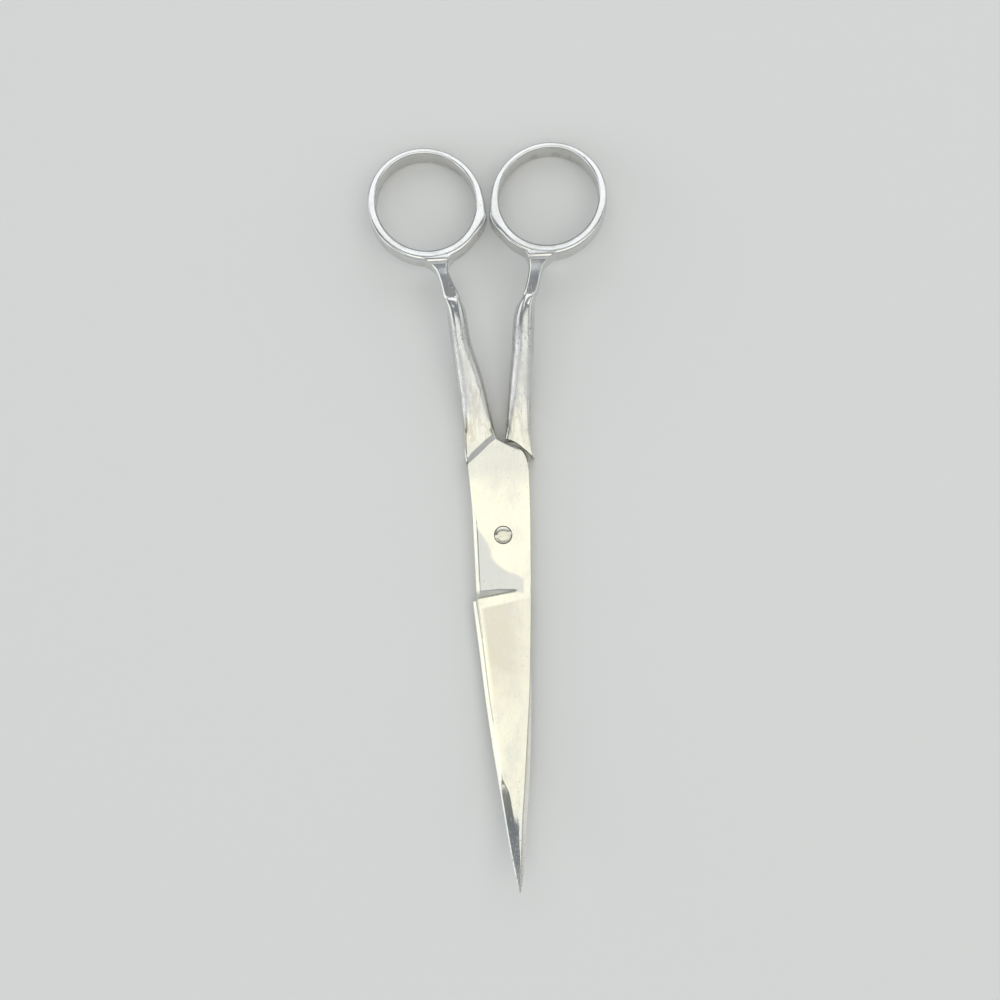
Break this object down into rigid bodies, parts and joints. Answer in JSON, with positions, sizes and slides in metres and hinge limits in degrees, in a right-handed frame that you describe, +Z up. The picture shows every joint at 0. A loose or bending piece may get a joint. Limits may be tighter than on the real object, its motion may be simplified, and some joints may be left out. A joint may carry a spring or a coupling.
{
  "type": "double-curved embroidery scissors",
  "caption": "Closed embroidery scissors with up-swept blades, offset shanks and tilted finger rings, two plated forged halves turning on a slotted pivot screw.",
  "frame": {"origin": "on the pivot axis, at the flush lower end of the pivot screw, level with the flat underside of the joint and with the table", "axes": "+Z up from the table along the pivot axis; +Y along the closed scissors from the pivot to the finger rings, so that the blade tips point along -Y; +X to the right seen from above"},
  "size_m": [0.0486, 0.1509, 0.0101],
  "materials": {
    "plated_halves": "bright plated and polished steel, fine hairline scratches, satin grinding on the inner faces",
    "pivot_screw": "bright plated screw head, polished dome, darker slot"
  },
  "bodies": {
    "lower": {"lower_half": "plated_halves", "pivot_screw": "pivot_screw"},
    "upper": {"upper_half": "plated_halves"}
  },
  "joints": [
    {"name": "pivot", "type": "hinge", "parent": "lower", "child": "upper", "pos_m": [0, 0, 0], "axis": [0, 0, 1], "range_deg": [0, 55]}
  ]
}
